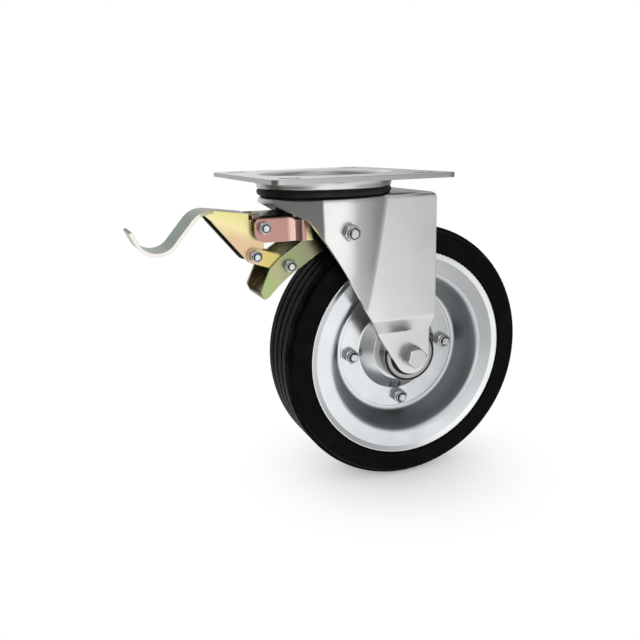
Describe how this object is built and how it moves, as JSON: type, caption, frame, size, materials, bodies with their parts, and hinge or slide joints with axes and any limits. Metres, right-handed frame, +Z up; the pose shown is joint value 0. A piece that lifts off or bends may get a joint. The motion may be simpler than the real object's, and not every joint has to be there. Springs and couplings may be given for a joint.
{
  "type": "swivel castor",
  "caption": "Large swivel castor with a bolt-on top plate, pressed steel fork, split steel rim with solid rubber tyre and a foot brake whose shoe presses on the tread.",
  "frame": {"origin": "centre of the top plate's upper face, on the swivel axis", "axes": "+Z up out of the plate, +X towards the side the wheel trails on, Y along the axle at rest"},
  "size_m": [0.3784, 0.2, 0.3],
  "materials": {
    "zinc_sheet": "satin zinc plate",
    "zinc_rim": "bright zinc plate",
    "zinc_fastener": "bright zinc plate",
    "plain_steel": "turned steel",
    "black_seal": "black moulding",
    "tyre": "black rubber",
    "yellow_zinc": "yellow passivated zinc"
  },
  "bodies": {
    "plate": {"top_plate": "zinc_sheet", "kingpin": "plain_steel", "kingpin_sleeve": "plain_steel", "kingpin_nut": "plain_steel", "lower_race_cup": "plain_steel", "swivel_seal": "black_seal", "upper_balls": "plain_steel", "lower_balls": "plain_steel"},
    "fork": {"fork": "zinc_sheet", "axle_bolt": "zinc_fastener", "axle_nut": "zinc_fastener", "axle_washers": "zinc_fastener", "axle_sleeve": "plain_steel", "bearing_inner_rings": "plain_steel", "brake_bracket": "yellow_zinc", "bracket_spacers": "zinc_fastener", "bracket_rivets": "zinc_fastener", "shoe_pivot_bolt": "zinc_fastener", "shoe_pivot_nut": "zinc_fastener", "shoe_pivot_spacers": "zinc_fastener", "pedal_pivot_bolt": "zinc_fastener", "pedal_pivot_nut": "zinc_fastener", "pedal_pivot_spacers": "zinc_fastener"},
    "wheel": {"hub_tube": "plain_steel", "bearing_outer_rings": "plain_steel", "bearing_balls": "plain_steel", "hub_seals": "black_seal", "rim_far": "zinc_rim", "rim_near": "zinc_rim", "rim_bolts": "zinc_fastener", "rim_nuts": "zinc_fastener", "tyre": "tyre"},
    "pedal": {"brake_pedal": "yellow_zinc", "link_pedal_bolt": "zinc_fastener", "link_pedal_nut": "zinc_fastener"},
    "links": {"brake_link_far": "yellow_zinc", "brake_link_near": "yellow_zinc"},
    "shoe": {"brake_shoe": "yellow_zinc", "link_shoe_bolt": "zinc_fastener", "link_shoe_nut": "zinc_fastener"}
  },
  "joints": [
    {"name": "swivel", "type": "hinge", "parent": "plate", "child": "fork", "pos_m": [0, 0, -0.0205], "axis": [0, 0, 1], "continuous": true},
    {"name": "wheel_spin", "type": "hinge", "parent": "fork", "child": "wheel", "pos_m": [0.0735, 0, -0.175], "axis": [0, 1, 0], "continuous": true},
    {"name": "pedal_press", "type": "hinge", "parent": "fork", "child": "pedal", "pos_m": [-0.0675, 0, -0.0434], "axis": [0, -1, 0], "range_deg": [0, 40]},
    {"name": "shoe_swing", "type": "hinge", "parent": "fork", "child": "shoe", "pos_m": [-0.0005, 0, -0.0489], "axis": [0, -1, 0], "range_deg": [0, 18.05]},
    {"name": "link_swing", "type": "hinge", "parent": "pedal", "child": "links", "pos_m": [-0.0744, 0, -0.0684], "axis": [0, -1, 0], "range_deg": [-66, 0]}
  ],
  "couplings": [
    {"joint": "shoe_swing", "follows": "pedal_press", "ratio": 0.45},
    {"joint": "link_swing", "follows": "pedal_press", "ratio": -1.648}
  ]
}
